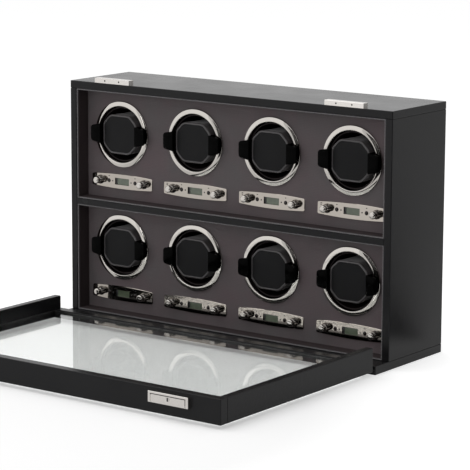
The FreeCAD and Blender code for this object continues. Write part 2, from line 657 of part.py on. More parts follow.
def lock_plug(x):
    """Round plug with a key slot, turned by the key."""
    foot = CASE_HEIGHT + BOLT_LIFT + BOLT_PLATE + BOLT_LIFT
    top = CASE_HEIGHT + LOCK_HEIGHT + PLUG_PROUD
    plug = Part.makeCylinder(PLUG_RADIUS, top - foot, Vector(x, depth(LOCK_MIDDLE), foot))
    slot = block(x - KEYHOLE_WIDTH / 2, x + KEYHOLE_WIDTH / 2, LOCK_MIDDLE - KEYHOLE_LENGTH / 2,
                 LOCK_MIDDLE + KEYHOLE_LENGTH / 2, top - KEYHOLE_DEPTH, top)
    return plug.cut(slot)


def lock_bolts(x):
    """Sliding plate with two round bolts, drawn back in the lock body."""
    back = LOCK_FRONT + LOCK_WALL + BOLT_LIFT + BOLT_BAR
    foot = CASE_HEIGHT + BOLT_LIFT
    axis = CASE_HEIGHT + BOLT_HEIGHT
    half = BOLT_SPACING / 2 + BOLT_MARGIN
    shape = block(x - half, x + half, back - BOLT_BAR, back, foot, foot + BOLT_PLATE)
    for side in (-1, 1):
        bolt_x = x + side * BOLT_SPACING / 2
        shape = shape.fuse(block(bolt_x - BOLT_RADIUS, bolt_x + BOLT_RADIUS, back - BOLT_BAR, back,
                                 foot, axis + BOLT_RADIUS))
        shape = shape.fuse(rod(bolt_x, axis, BOLT_RADIUS, back - BOLT_BAR, LOCK_BACK - LOCK_WALL / 2))
    return shape.removeSplitter()


def latch_keepers():
    """Blocks on the case top that take the bolts of the closed door."""
    pieces = []
    for side in (-1, 1):
        x = side * LOCK_OFFSET
        top = CASE_HEIGHT + KEEPER_HEIGHT
        body = block(x - LOCK_LENGTH / 2, x + LOCK_LENGTH / 2, 0, KEEPER_DEPTH, CASE_HEIGHT, top)
        body = body.makeChamfer(LOCK_EDGE, [e for e in body.Edges if e.BoundBox.ZMin > top - TOUCH])
        for bolt in (-1, 1):
            body = body.cut(rod(x + bolt * BOLT_SPACING / 2, CASE_HEIGHT + BOLT_HEIGHT, KEEPER_BORE,
                                0, KEEPER_BORE_DEPTH))
        pieces.append(body)
    return Part.makeCompound(pieces)


# Export, one file per node

os.makedirs("parts", exist_ok=True)

save("top_board", board(-HALF_WIDTH, HALF_WIDTH, 0, CASE_DEPTH, INSIDE_TOP, CASE_HEIGHT, BOARD_EDGE))
save("bottom_board", bottom_board())
save("side_boards", side_boards())
save("back_panel", back_panel())
save("divider_board", block(-HALF_INSIDE, HALF_INSIDE, 0, INSIDE_BACK,
                            DIVIDER_UNDERSIDE, DIVIDER_UNDERSIDE + DIVIDER))
save("compartment_liners", compartment_liners())
save("winder_panels", winder_panels())
save("motor_rails", motor_rails())
save("power_inlet", power_inlet())
save("latch_keepers", latch_keepers())

save("ring_bezels", at_each_station(ring_bezel()))
save("drive_motors", at_each_station(drive_motor()))
under_ring = Vector(0, 0, -PLATE_DROP)
save("control_plates", at_each_station(control_plate().translated(under_ring)))
save("display_windows", at_each_station(display_window().translated(under_ring)))
save("indicator_lenses", at_each_station(indicator_lenses().translated(under_ring)))
save("control_circuits", at_each_station(circuit().translated(under_ring)))

station_drum, station_cuff, station_knob = drum(), cuff(), knob()
for row, column, x, z in STATIONS:
    label = row + "_" + str(column)
    save("drum_" + label, station_drum.translated(Vector(x, 0, z)))
    save("cuff_" + label, station_cuff.translated(Vector(x, 0, z)))
    for hand, side in (("left", -1), ("right", 1)):
        place = Vector(x + side * KNOB_OFFSET, 0, z - PLATE_DROP)
        save("knob_" + label + "_" + hand, station_knob.translated(place))

save("door_top_rail", opened(door_top_rail()))
save("door_side_rails", opened(door_side_rails()))
save("door_bottom_rail", opened(door_bottom_rail()))
save("door_glass", opened(door_glass()))
save("glazing_bead", opened(glazing_bead()))
save("hinge_case_leaves", hinge_case_leaves())
save("hinge_door_leaves", opened(hinge_door_leaves()))
save("lock_housings", opened(Part.makeCompound([lock_housing(-LOCK_OFFSET), lock_housing(LOCK_OFFSET)])))
for hand, side in (("left", -1), ("right", 1)):
    save("lock_bolts_" + hand, opened(lock_bolts(side * LOCK_OFFSET)))
    save("lock_plug_" + hand, opened(lock_plug(side * LOCK_OFFSET)))
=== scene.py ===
import math

import bpy
import bmesh
import numpy as np
from mathutils import Matrix, Vector


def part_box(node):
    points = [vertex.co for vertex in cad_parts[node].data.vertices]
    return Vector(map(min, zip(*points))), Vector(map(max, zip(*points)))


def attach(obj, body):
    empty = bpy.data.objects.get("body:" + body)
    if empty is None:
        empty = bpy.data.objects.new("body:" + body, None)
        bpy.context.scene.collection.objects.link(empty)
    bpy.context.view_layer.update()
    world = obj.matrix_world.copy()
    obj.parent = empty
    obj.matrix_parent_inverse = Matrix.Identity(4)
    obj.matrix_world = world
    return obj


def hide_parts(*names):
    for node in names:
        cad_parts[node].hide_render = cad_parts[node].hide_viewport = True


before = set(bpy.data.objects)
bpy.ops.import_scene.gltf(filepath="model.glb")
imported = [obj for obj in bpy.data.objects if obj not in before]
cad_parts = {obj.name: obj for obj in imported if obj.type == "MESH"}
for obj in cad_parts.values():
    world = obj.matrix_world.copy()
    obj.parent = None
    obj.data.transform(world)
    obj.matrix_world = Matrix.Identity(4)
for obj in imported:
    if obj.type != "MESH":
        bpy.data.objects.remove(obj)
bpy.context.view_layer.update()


# The camera has a long lens and stands to the right of the open case, a little above it.

turn, rise, roll = math.radians(36.3152), math.radians(10.6506), math.radians(0.2622)
aim, distance = Vector((0.022399, -0.0555, 0.168113)), 3.49731
away = Vector((math.sin(turn) * math.cos(rise), -math.cos(turn) * math.cos(rise), math.sin(rise)))
across = Vector((0, 0, 1)).cross(away).normalized()
upright = away.cross(across)
camera_axes = Matrix((
    across * math.cos(roll) + upright * math.sin(roll),
    upright * math.cos(roll) - across * math.sin(roll),
    away)).transposed()
camera = bpy.data.objects.new("camera", bpy.data.cameras.new("camera"))
camera.data.lens = 178.313
camera.data.clip_end = 100
camera.matrix_world = Matrix.Translation(aim + away * distance) @ camera_axes.to_4x4()
bpy.context.collection.objects.link(camera)
bpy.context.scene.camera = camera


# The studio: a white sweep, wide soft boxes overhead and at the left, small ones in front and at
# the right. Black flags, seen only by polished surfaces, give the chrome its dark edges and lines.

def linear(code):
    """The linear colour of an sRGB hex code."""
    channels = [int(code[i:i + 2], 16) / 255 for i in (1, 3, 5)]
    return tuple(c / 12.92 if c <= 0.04045 else ((c + 0.055) / 1.055) ** 2.4
                 for c in channels) + (1.0,)


def add(tree, kind, inputs=(), **settings):
    """Adds a node: settings are its own, and inputs maps its sockets to values or other sockets."""
    node = tree.nodes.new(kind)
    for name, value in settings.items():
        setattr(node, name, value)
    for name, value in dict(inputs).items():
        if isinstance(value, bpy.types.NodeSocket):
            tree.links.new(value, node.inputs[name])
        else:
            node.inputs[name].default_value = value
    return node


def worked_out(tree, operation, first, second):
    """The result of a Math node on two values."""
    return add(tree, "ShaderNodeMath", {0: first, 1: second}, operation=operation).outputs[0]


def ranged(tree, value, low, high, start=0.0, end=1.0):
    """A value that runs from start to end, carried over to run from low to high."""
    return add(tree, "ShaderNodeMapRange", {"Value": value, "From Min": start, "From Max": end,
                                            "To Min": low, "To Max": high}).outputs[0]


def seen_directly(tree):
    """1 where the eye, a polished surface or glass sees the surface, and 0 where it only lights."""
    path = add(tree, "ShaderNodeLightPath").outputs
    seen = worked_out(tree, "MAXIMUM", path["Is Camera Ray"], path["Is Glossy Ray"])
    return worked_out(tree, "MAXIMUM", seen, path["Is Transmission Ray"])


def new_finish(name):
    """A material with nothing in it yet, its nodes, and the place on the object being shaded."""
    finish = bpy.data.materials.new(name)
    finish.use_nodes = True
    tree = finish.node_tree
    tree.nodes.clear()
    return finish, tree, add(tree, "ShaderNodeTexCoord").outputs["Object"]


def flat_card(name, centre, half_a, half_b, finish):
    """A rectangle of the studio: its centre, and the way from there to two of its sides."""
    centre, half_a, half_b = Vector(centre), Vector(half_a), Vector(half_b)
    mesh = bpy.data.meshes.new(name)
    mesh.from_pydata([centre - half_a - half_b, centre + half_a - half_b,
                      centre + half_a + half_b, centre - half_a + half_b], [], [(0, 1, 2, 3)])
    mesh.materials.append(finish)
    card = bpy.data.objects.new(name, mesh)
    bpy.context.collection.objects.link(card)
    return card


paper, tree, where = new_finish("white_paper_sweep")
body = add(tree, "ShaderNodeBsdfDiffuse", {"Color": linear("#e9e9e9")})
# The sweep's glow is painted weaker near the open door: a painted soft shadow round it.
reach = add(tree, "ShaderNodeVectorMath", {0: where, 1: (-0.05, -0.55, 0.0)}, operation="DISTANCE")
painted_shadow_glow = ranged(tree, reach.outputs["Value"], 0.37, 0.71, start=0.45, end=0.75)
strength = worked_out(tree, "MULTIPLY", seen_directly(tree), painted_shadow_glow)
glow = add(tree, "ShaderNodeEmission", {"Strength": strength})
both = add(tree, "ShaderNodeAddShader", {0: body.outputs[0], 1: glow.outputs[0]})
add(tree, "ShaderNodeOutputMaterial", {"Surface": both.outputs[0]})
flat_card("floor", (0, 0, 0), (40, 0, 0), (0, 40, 0), paper)

black_felt, tree, _ = new_finish("black_felt_flag")
felt = add(tree, "ShaderNodeBsdfDiffuse", {"Color": linear("#0c0c0c")})
add(tree, "ShaderNodeOutputMaterial", {"Surface": felt.outputs[0]})
for name, centre, half_a, half_b in (
        ("flag_floor_far", (0.75, -1.60, 0.004), (1.05, 0, 0), (0, 0.40, 0)),
        ("flag_floor_near", (0.82, -0.96, 0.004), (0.98, 0, 0), (0, 0.24, 0)),
        ("flag_front", (0.72, -2.00, 0.55), (1.08, 0, 0), (0, 0, 0.55)),
        ("flag_right", (1.80, -1.20, 0.55), (0, 0.80, 0), (0, 0, 0.55)),
        ("flag_floor_side", (1.114, 0.815, 0.004), (0.594, 0.804, 0), (0.161, -0.119, 0))):
    flag = flat_card(name, centre, half_a, half_b, black_felt)
    flag.visible_camera = flag.visible_diffuse = flag.visible_shadow = False
    flag.visible_transmission = flag.visible_volume_scatter = False

world = bpy.data.worlds.new("studio")
world.use_nodes = True
tree = world.node_tree
tree.nodes.clear()
fill = add(tree, "ShaderNodeBackground", {"Color": linear("#ffffff"), "Strength": 0.34})
backdrop = add(tree, "ShaderNodeBackground", {"Color": linear("#ffffff"), "Strength": 1.0})
either = add(tree, "ShaderNodeMixShader", {0: seen_directly(tree), 1: fill.outputs[0],
                                           2: backdrop.outputs[0]})
add(tree, "ShaderNodeOutputWorld", {"Surface": either.outputs[0]})
bpy.context.scene.world = world


def soft_box(name, place, aim, width, height, watts):
    """A rectangular lamp at place, facing aim."""
    lamp = bpy.data.objects.new(name, bpy.data.lights.new(name, "AREA"))
    lamp.data.shape = "RECTANGLE"
    lamp.data.size, lamp.data.size_y = width, height
    lamp.data.energy = watts
    lamp.location = place
    lamp.rotation_euler = (Vector(aim) - Vector(place)).to_track_quat("-Z", "Y").to_euler()
    bpy.context.collection.objects.link(lamp)


soft_box("overhead_box", (-0.3, -0.5, 2.4), (0, -0.1, 0.1), 2.3, 2.3, 21)
soft_box("left_box", (-2.0, -1.9, 1.5), (0, -0.1, 0.15), 3.0, 3.0, 13.5)
soft_box("right_box", (1.15, -1.15, 1.05), (0, 0, 0.2), 0.25, 0.7, 1)
soft_box("front_box", (-0.1, -2.9, 0.8), (0, 0, 0.2), 0.8, 0.8, 14)
bpy.context.scene.view_settings.view_transform = "Standard"


# The boards of the case and of the door are fibreboard wrapped in leather-grain PVC film, glued
# over rounded edges. The film is satin, with pebbled grain pressed into it.

def noise(tree, place, size, detail=2.0):
    """Soft blotches about size metres across, from 0 to 1."""
    return add(tree, "ShaderNodeTexNoise", {"Vector": place, "Scale": 1 / size,
                                            "Detail": detail}).outputs[0]


def bump(tree, height, strength, depth):
    """The relief that a height from 0 to 1 gives, depth metres deep."""
    return add(tree, "ShaderNodeBump", {"Height": height, "Strength": strength,
                                        "Distance": depth}).outputs[0]


def between(tree, factor, first, second):
    """The colour between two hex codes at factor, from 0 to 1."""
    return add(tree, "ShaderNodeMix", {0: factor, 6: linear(first), 7: linear(second)},
               data_type="RGBA").outputs[2]


def coat(tree, **inputs):
    """Finishes a material with one surface. Its sockets are named with underscores for spaces."""
    surface = add(tree, "ShaderNodeBsdfPrincipled",
                  {name.replace("_", " "): value for name, value in inputs.items()})
    add(tree, "ShaderNodeOutputMaterial", {"Surface": surface.outputs[0]})


def dress(finish, *nodes):
    """Gives CAD nodes their finish."""
    for node in nodes:
        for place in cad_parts[node].material_slots:
            place.material = finish


leatherette, tree, where = new_finish("leather_grain_pvc_film")
# Pebbles of the pressed grain are about 0.7 mm across; drawn at 1.4 mm so that they show.
pebbles = add(tree, "ShaderNodeTexVoronoi", {"Vector": where, "Scale": 1 / 0.0014},
              feature="SMOOTH_F1").outputs["Distance"]
relief = worked_out(tree, "ADD", pebbles, noise(tree, where, 0.005, 3.0))
# Glue and handling leave patches some 60 mm across a little duller or shinier.
patches = noise(tree, where, 0.06)
coat(tree, Base_Color=between(tree, patches, "#161617", "#1d1d1e"),
     Roughness=ranged(tree, patches, 0.20, 0.30), IOR=1.5, Specular_IOR_Level=0.13,
     Normal=bump(tree, relief, 0.20, 0.00025))
dress(leatherette, "top_board", "bottom_board", "side_boards", "divider_board",
      "door_top_rail", "door_side_rails", "door_bottom_rail")


# The back is black-lacquered hardboard, rolled on, with a faint roller texture. Countersunk
# cross-head screws hold it to the boards.

def millimetres(box):
    """The two corners of a box, in millimetres."""
    return [np.array(corner) * 1000 for corner in box]


def skin(name, grids, finishes, sharp):
    """A mesh through grids of points. Each grid is (points[rows, columns, 3] in millimetres,
    whether its rows close on themselves, its finish's number), and its columns always close.
    Neighbouring points make four-sided faces, doubled points are merged, and closed shells are
    turned outwards. Bends of more than sharp degrees are shaded as edges."""
    corners, faces, numbers, start = [], [], [], 0
    for points, rows_close, number in grids:
        rows, columns = points.shape[:2]
        index = start + np.arange(rows * columns).reshape(rows, columns)
        if rows_close:
            index = np.vstack([index, index[:1]])
        index = np.hstack([index, index[:, :1]])
        quads = np.stack([index[:-1, :-1], index[1:, :-1], index[1:, 1:], index[:-1, 1:]], axis=-1)
        corners.append(points.reshape(-1, 3) / 1000)
        faces.append(quads.reshape(-1, 4))
        numbers.append(np.full(len(faces[-1]), number))
        start += rows * columns
    mesh = bpy.data.meshes.new(name)
    mesh.from_pydata(np.concatenate(corners), [], np.concatenate(faces).tolist())
    for finish in finishes:
        mesh.materials.append(finish)
    mesh.polygons.foreach_set("material_index", np.concatenate(numbers))
    work = bmesh.new()
    work.from_mesh(mesh)
    bmesh.ops.remove_doubles(work, verts=work.verts, dist=1e-6)
    bmesh.ops.recalc_face_normals(work, faces=work.faces)
    work.to_mesh(mesh)
    work.free()
    mesh.shade_smooth()
    mesh.set_sharp_from_angle(angle=math.radians(sharp))
    return mesh


def new_piece(name, body, grids, finishes, sharp):
    """Puts a mesh through grids of points into the scene, as a piece on a CAD body."""
    piece = bpy.data.objects.new(name, skin(name, grids, finishes, sharp))
    bpy.context.collection.objects.link(piece)
    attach(piece, body)
    return piece


def turned(profile, centre, steps, shape=1.0):
    """A profile of (radius, depth) carried once round a front-to-back axis through centre. shape
    multiplies the radius at each step."""
    profile, angle = np.array(profile, float), np.arange(steps) * 2 * np.pi / steps
    radius = profile[:, 0, None] * np.ones(steps) * shape
    depth = np.broadcast_to(profile[:, 1, None], radius.shape)
    round_axis = np.stack([radius * np.cos(angle), depth, radius * np.sin(angle)], axis=-1)
    return round_axis + np.array(centre, float)


def screw_head(centre):
    """A countersunk head 7 mm across, facing backwards. The radius of its recess swings by 60 per
    cent four times round, which draws the recess out into a cross."""
    head = [(0.0, -0.35), (0.5, -0.35), (0.9, -0.1), (1.2, 0.42), (2.1, 0.5), (2.8, 0.42),
            (3.3, 0.22), (3.5, 0.0), (3.4, -0.3), (0.0, -0.3)]
    steps, recess_radius = 24, 1.3
    swing = np.array([0.6 if 0 < radius < recess_radius else 0.0 for radius, _ in head])[:, None]
    cross = 1 + swing * np.cos(4 * np.arange(steps) * 2 * np.pi / steps)
    return turned(head, centre, steps, cross)


back_board, tree, where = new_finish("lacquered_hardboard")
# Roller stipple about 2 mm across.
stipple = noise(tree, where, 0.002)
coat(tree, Base_Color=linear("#1a1a1b"), Roughness=0.55, Normal=bump(tree, stipple, 0.2, 0.0002))
dress(back_board, "back_panel")

screw_steel, tree, where = new_finish("nickel_plated_screw")
coat(tree, Base_Color=linear("#98979a"), Metallic=1.0,
     Roughness=ranged(tree, noise(tree, where, 0.001), 0.28, 0.42))

low, high = millimetres(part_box("back_panel"))
from_edge, from_corner, in_a_row = 8, 20, 5
heads = [(x, high[1], z) for z in (low[2] + from_edge, high[2] - from_edge)
         for x in np.linspace(low[0] + from_corner, high[0] - from_corner, in_a_row)]
heads += [(x, high[1], (low[2] + high[2]) / 2) for x in (low[0] + from_edge, high[0] - from_edge)]
new_piece("back_panel_screws", "case",
          [(screw_head(centre), False, 0) for centre in heads], [screw_steel], sharp=35)


# The power inlet is a moulded ABS socket with a flange, pushed in from behind. The bead that holds
# the door's glass is of the same black ABS.

# The same black ABS also paints the shade strip beside each display.
moulded_abs_and_painted_shade, tree, where = new_finish("moulded_black_abs_and_painted_shade")
# Spark-eroded mould texture, 0.3 mm on the part, drawn at 0.8 mm.
spark = noise(tree, where, 0.0008, 3.0)
coat(tree, Base_Color=linear("#141414"), Roughness=0.42, IOR=1.53,
     Normal=bump(tree, spark, 0.15, 0.0001))
dress(moulded_abs_and_painted_shade, "power_inlet", "glazing_bead")


# Each compartment is lined with dark cloth on card. A cord piping covers the front edge of the
# lining, and a row of grey stitches runs along it.

def around_frame(low, high, profile):
    """A profile of (distance inwards, depth) carried round the inside of a rectangle, mitred."""
    profile = np.array(profile, float)
    inwards, y = profile[:, 0], profile[:, 1]
    x = np.stack([low[0] + inwards, high[0] - inwards, high[0] - inwards, low[0] + inwards], axis=1)
    z = np.stack([low[1] + inwards, low[1] + inwards, high[1] - inwards, high[1] - inwards], axis=1)
    return np.stack([x, np.repeat(y[:, None], 4, axis=1), z], axis=-1)


def arc(centre, radius, start, end, count):
    """Points of a circular arc, angles in degrees."""
    angle = np.radians(np.linspace(start, end, count))
    return [(centre[0] + radius * np.cos(a), centre[1] + radius * np.sin(a)) for a in angle]


def stitches(start, end, pitch, proud, number):
    """Grids for a row of stitches from start to end, standing proud towards the front, with their
    finish's number. Each is a spindle of thread, pointed where it dives into the cloth."""
    length, width = 1.3, 0.8
    start, end, backwards = np.array(start, float), np.array(end, float), np.array((0, 1, 0))
    run = end - start
    count = int(np.linalg.norm(run) / pitch)
    along = run / np.linalg.norm(run)
    side = np.cross(along, backwards)
    middles = start + run * ((np.arange(count) + 0.5) / count)[:, None]
    step = np.linspace(-1, 1, 5)
    angle = np.arange(6) * np.pi / 3
    girth = width / 2 * np.sqrt(np.clip(1 - step ** 2, 0, 1))
    spindle = (step[:, None, None] * length / 2 * along
               + girth[:, None, None] * (np.cos(angle)[None, :, None] * side
                                         + np.sin(angle)[None, :, None] * backwards)
               - proud * backwards)
    return [(spindle + middle, False, number) for middle in middles]


lining, tree, where = new_finish("lining_cloth")
nap = noise(tree, where, 0.0012, 3.0)
coat(tree, Base_Color=between(tree, nap, "#271f20", "#372f30"), Roughness=0.9,
     Specular_IOR_Level=0.2, Normal=bump(tree, nap, 0.4, 0.0003))

piping, tree, where = new_finish("grey_piping_cord")
weave = noise(tree, where, 0.0015)
coat(tree, Base_Color=between(tree, weave, "#3a383a", "#504e50"), Roughness=0.7,
     Normal=bump(tree, weave, 0.4, 0.0003))

thread, tree, where = new_finish("grey_polyester_thread")
coat(tree, Base_Color=between(tree, noise(tree, where, 0.0005), "#8d8a8b", "#b0adad"),
     Roughness=0.55)

liner_low, liner_high = millimetres(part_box("compartment_liners"))
divider_low, divider_high = millimetres(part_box("divider_board"))
board_front = divider_low[1]
panel_face = millimetres(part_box("winder_panels"))[0][1]
cord, set_back = 1.3, 0.6        # the piping's radius, and its place behind the boards' front
cord_middle = board_front + cord + set_back
for storey, floor, ceiling in (("lower", liner_low[2], divider_low[2]),
                               ("upper", divider_high[2], liner_high[2])):
    sides = (liner_low[0], floor), (liner_high[0], ceiling)
    cord_round = [(0.0, cord_middle + cord)] + arc((cord, cord_middle), cord, 90, 360, 9)
    # A row of points 6 mm in keeps the cord's rounding from shading the whole wall.
    wall = [(2 * cord, cord_middle), (2 * cord, board_front + 6), (2 * cord, panel_face),
            (0, panel_face)]
    grids = [(around_frame(*sides, cord_round), False, 0), (around_frame(*sides, wall), False, 1)]
    x0, x1 = liner_low[0] + cord, liner_high[0] - cord
    z0, z1 = floor + cord, ceiling - cord
    y = cord_middle - cord
    turns = [(x0, y, z0), (x1, y, z0), (x1, y, z1), (x0, y, z1)]
    for start, end in zip(turns, turns[1:] + turns[:1]):
        grids += stitches(start, end, pitch=2.1, proud=0.1, number=2)
    piece = new_piece("lining_" + storey, "case", grids, [piping, lining, thread],
                      sharp=50)
    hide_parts("compartment_liners")


# Each winder panel is board covered in aubergine-grey microfibre, woven fine and brushed.

microfibre, tree, where = new_finish("woven_microfibre")
# Threads are 0.4 mm apart; drawn 2.4 mm apart so that the weave shows. A wave texture of scale 1
# has a stripe every tenth of pi.
stripes = 1 / 0.0024 / 20 * 2 * math.pi
warp, weft = (add(tree, "ShaderNodeTexWave", {"Vector": where, "Scale": stripes, "Distortion": 0.6,
                                              "Detail": 1.0}, bands_direction=way).outputs[1]
              for way in "XZ")
threads = worked_out(tree, "ADD", worked_out(tree, "MULTIPLY", warp, weft),
                     noise(tree, where, 0.0016, 4.0))
# The nap lies one way or the other in clouds some 50 mm across, from plum to grey.
clouds = between(tree, noise(tree, where, 0.05), "#57474b", "#4c4c4c")
shaded = ranged(tree, threads, 0.82, 1.10, start=0.0, end=1.6)
mottled = add(tree, "ShaderNodeMix", {0: 1.0, 6: clouds, 7: shaded}, data_type="RGBA",
              blend_type="MULTIPLY").outputs[2]
coat(tree, Base_Color=mottled, Roughness=0.85, Sheen_Weight=0.15,
     Normal=bump(tree, threads, 0.35, 0.0003))
dress(microfibre, "winder_panels")


# Behind the panels: zinc-plated cross rails, gearmotors in zinc-plated cans, and green boards.

plated, tree, where = new_finish("zinc_plated_steel")
spangle = add(tree, "ShaderNodeTexVoronoi", {"Vector": where, "Scale": 1 / 0.004})
coat(tree, Base_Color=linear("#b9bbbd"), Metallic=1.0,
     Roughness=ranged(tree, spangle.outputs["Distance"], 0.28, 0.45))
dress(plated, "motor_rails", "drive_motors")

circuit, tree, where = new_finish("solder_masked_circuit_board")
tracks = add(tree, "ShaderNodeTexBrick", {
    "Vector": where, "Scale": 1 / 0.01, "Color1": linear("#1c4a2c"), "Color2": linear("#24583a"),
    "Mortar": linear("#2f6e48"), "Mortar Size": 0.04})
coat(tree, Base_Color=tracks.outputs[0], Roughness=0.3)
dress(circuit, "control_circuits")


# Each drum opening has a convex ring of turned brass, polished and chromed, with a short sleeve
# that lines the hole in the panel.

chrome, tree, where = new_finish("polished_chrome_plate")
# Wiping leaves faint smears a few millimetres long.
smears = noise(tree, where, 0.006, 4.0)
coat(tree, Base_Color=linear("#afaba6"), Metallic=1.0, Roughness=ranged(tree, smears, 0.03, 0.09))

stations = {}
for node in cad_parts:
    if node.startswith("cuff_"):
        low, high = millimetres(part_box(node))
        stations[node[len("cuff_"):]] = ((low[0] + high[0]) / 2, (low[2] + high[2]) / 2)

# The ring's section, outside to inside: a small bend at its foot, the flat-curved crown, the lip
# that rolls inwards, and the sleeve behind it.
foot = arc((51.29, panel_face - 2.11), 0.5, 0, -66, 5)
crown = arc((43.28, panel_face + 15.89), 20.2, -66, -84, 18)
lip = arc((45.3, panel_face - 3.3), 0.9, -84, -180, 10)
sleeve_bore, sleeve_outside, sleeve_end = 44.0, 44.8, panel_face + 10.5
ring_profile = [(51.79, panel_face)] + foot + crown[1:] + lip[1:] + [
    (sleeve_bore, sleeve_end), (sleeve_outside, sleeve_end), (sleeve_outside, panel_face)]
piece = new_piece("drum_rings", "case",
                  [(turned(ring_profile, (x, 0, z), steps=144), True, 0)
                   for x, z in stations.values()], [chrome], sharp=50)
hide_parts("ring_bezels")


# The drums are cups moulded in brown-black ABS, left matt, with a spindle at the back.

drum_plastic, tree, where = new_finish("matt_brown_black_abs")
coat(tree, Base_Color=linear("#150c0d"), Roughness=0.6, Specular_IOR_Level=0.2,
     Normal=bump(tree, noise(tree, where, 0.0008, 3.0), 0.2, 0.0001))
dress(drum_plastic, *[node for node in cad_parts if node.startswith("drum_")])


# Each cuff is firm moulded foam, eight-sided with softened corners. Its face is covered in black
# smooth-grain leathercloth, its sides in suede cloth, and a satin frame holds the face's edge.

cuff_half, cuff_half_height = 33.75, 31.1
flat_half, flat_half_height = 19.0, 16.5        # where its straight sides would meet the slanted


def eight_sided(inset):
    """Outline points of the cuff drawn in by inset: eight straight sides, joined by arcs of 14 mm
    less the inset, with points added evenly along each side. x across, z up."""
    slant = math.atan2(cuff_half_height - flat_half_height, cuff_half - flat_half)
    x1, z1 = cuff_half - inset, cuff_half_height - inset
    x0 = flat_half - inset * math.tan(slant / 2)
    z0 = flat_half_height - inset * math.tan((math.pi / 2 - slant) / 2)
    corners = np.array([(x1, -z0), (x1, z0), (x0, z1), (-x0, z1),
                        (-x1, z0), (-x1, -z0), (-x0, -z1), (x0, -z1)])
    radius, bend_points, side_points = 14 - inset, 6, 12
    before = np.roll(corners, 1, axis=0) - corners
    after = np.roll(corners, -1, axis=0) - corners
    before /= np.linalg.norm(before, axis=1)[:, None]
    after /= np.linalg.norm(after, axis=1)[:, None]
    half = np.arccos(np.clip((before * after).sum(axis=1), -1, 1)) / 2
    bisector = before + after
    bisector /= np.linalg.norm(bisector, axis=1)[:, None]
    centres = corners + bisector * (radius / np.sin(half))[:, None]
    starts = corners + before * (radius / np.tan(half))[:, None]
    ends = corners + after * (radius / np.tan(half))[:, None]
    a0 = np.arctan2(*(starts - centres).T[::-1])
    a1 = np.arctan2(*(ends - centres).T[::-1])
    a1 = a0 + (a1 - a0 + np.pi) % (2 * np.pi) - np.pi
    angle = a0[:, None] + (a1 - a0)[:, None] * np.linspace(0, 1, bend_points)
    bends = centres[:, None] + radius * np.stack([np.cos(angle), np.sin(angle)], axis=-1)
    shares = (np.arange(1, side_points) / side_points)[None, :, None]
    sides = ends[:, None] + (np.roll(starts, -1, axis=0) - ends)[:, None] * shares
    return np.concatenate([bends, sides], axis=1).reshape(-1, 2)


def stacked(rows, x, z):
    """Rows of (outline points, scale about the middle, depth) set behind each other, about x, z."""
    return np.stack([np.column_stack([x + outline[:, 0] * scale, np.full(len(outline), depth),
                                      z + outline[:, 1] * scale])
                     for outline, scale, depth in rows])


def rounded_plate(low, high, axis, corner, edge, which=(1, 1, 1, 1), count=6):
    """A flat plate between two corners, thin along axis (0 for x, 1 for y). Its outline's corners
    have the radius corner where which says so and edge elsewhere, and its faces meet its sides in
    a quarter circle of radius edge."""
    low, high = np.array(low, float), np.array(high, float)
    flat = [i for i in range(3) if i != axis]
    a, b = low[flat], high[flat]
    layers = [(edge * (1 - math.sin(math.radians(t))), edge * (1 - math.cos(math.radians(t))))
              for t in np.linspace(0, 90, 4)]
    stack = [(inset, low[axis] + deep) for inset, deep in layers]
    stack += [(inset, high[axis] - deep) for inset, deep in reversed(layers)]
    spots = ((b[0], b[1], 0), (a[0], b[1], 90), (a[0], a[1], 180), (b[0], a[1], 270))
    rows = []
    for inset, level in stack:
        ring = []
        for (px, pz, start), wide in zip(spots, which):
            full = max(corner if wide else edge, edge)
            cx = px - full if start in (0, 270) else px + full
            cz = pz - full if start in (0, 90) else pz + full
            ring += arc((cx, cz), full - inset, start, start + 90, count)
        rows.append((np.array(ring), level))
    middle = np.repeat(((a + b) / 2)[None], 4 * count, axis=0)
    rows = [(middle, low[axis])] + rows + [(middle, high[axis])]
    grid = np.zeros((len(rows), 4 * count, 3))
    for i, (ring, level) in enumerate(rows):
        grid[i][:, flat] = ring
        grid[i][:, axis] = level
    return grid


cuff_face, tree, where = new_finish("smooth_grain_leathercloth")
# Pores 0.4 mm apart, drawn at 0.9 mm.
pores = add(tree, "ShaderNodeTexVoronoi", {"Vector": where, "Scale": 1 / 0.0009})
coat(tree, Base_Color=linear("#121213"), Specular_IOR_Level=0.12,
     Roughness=ranged(tree, noise(tree, where, 0.02, 3.0), 0.50, 0.62),
     Normal=bump(tree, pores.outputs["Distance"], 0.2, 0.0001))

cuff_side, tree, where = new_finish("brown_black_suede_cloth")
nap = noise(tree, where, 0.001, 3.0)
coat(tree, Base_Color=between(tree, nap, "#2a2425", "#3a3233"), Roughness=0.9, Sheen_Weight=0.2,
     Normal=bump(tree, nap, 0.4, 0.0002))

cuff_frame, tree, where = new_finish("satin_charcoal_moulding")
coat(tree, Base_Color=linear("#3a3738"), IOR=1.5,
     Roughness=ranged(tree, noise(tree, where, 0.0008), 0.32, 0.46))

grip_gloss, tree, where = new_finish("piano_black_abs")
# Fingerprints take off some of the shine.
prints = noise(tree, where, 0.004, 4.0)
coat(tree, Base_Color=linear("#020202"), Roughness=ranged(tree, prints, 0.10, 0.20),
     Specular_IOR_Level=0.02)

